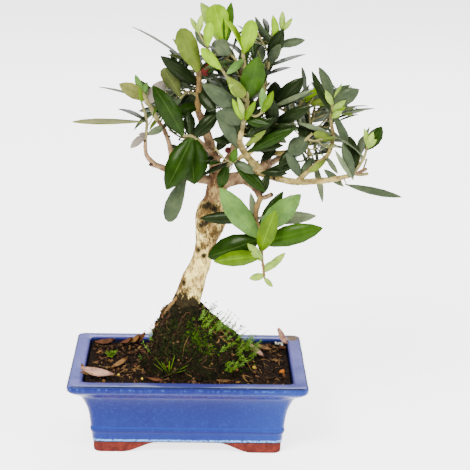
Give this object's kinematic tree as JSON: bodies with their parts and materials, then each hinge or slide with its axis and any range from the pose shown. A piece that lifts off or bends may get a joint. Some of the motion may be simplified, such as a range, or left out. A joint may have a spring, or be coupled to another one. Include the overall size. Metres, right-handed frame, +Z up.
{
  "type": "olive bonsai in a pot",
  "caption": "Olive bonsai with a leaning trunk, spreading boughs and masses of narrow leaves, on a mossy root mound in a glazed rectangular pot with feet.",
  "frame": {"origin": "on the ground, at the middle of the whole plant's box in X and Y", "axes": "+X to the right as the front is seen, +Y to the back, +Z up; the pot's long side lies along X"},
  "size_m": [0.279, 0.1534, 0.379],
  "materials": {
    "blue_glaze": "gloss",
    "dark_soil": "matte",
    "moss_and_roots": "matte",
    "pale_bark": "matte",
    "olive_leaf": "satin"
  },
  "bodies": {
    "root": {"pot": "blue_glaze", "soil": "dark_soil", "root_mound": "moss_and_roots", "trunk": "pale_bark", "left_leader": "pale_bark", "right_bough": "pale_bark", "right_arm": "pale_bark", "drooping_bough": "pale_bark", "central_bough": "pale_bark", "right_riser": "pale_bark", "right_twig": "pale_bark", "right_spur": "pale_bark", "middle_spur": "pale_bark", "fork_spur": "pale_bark", "left_arm": "pale_bark", "left_outer_twig": "pale_bark", "left_inner_twig": "pale_bark", "left_front_twig": "pale_bark", "back_bough": "pale_bark", "back_left_bough": "pale_bark", "back_right_bough": "pale_bark", "top_back_bough": "pale_bark", "foliage_top_left": "olive_leaf", "foliage_top_centre": "olive_leaf", "foliage_top_right": "olive_leaf", "foliage_right_upper": "olive_leaf", "foliage_right_top": "olive_leaf", "foliage_right_tip": "olive_leaf", "foliage_right_middle": "olive_leaf", "foliage_middle": "olive_leaf", "foliage_pendant": "olive_leaf", "foliage_left_front": "olive_leaf", "foliage_fork": "olive_leaf", "foliage_left_inner": "olive_leaf", "foliage_left_outer": "olive_leaf", "foliage_back": "olive_leaf", "foliage_back_left": "olive_leaf", "foliage_back_right": "olive_leaf"}
  },
  "joints": []
}
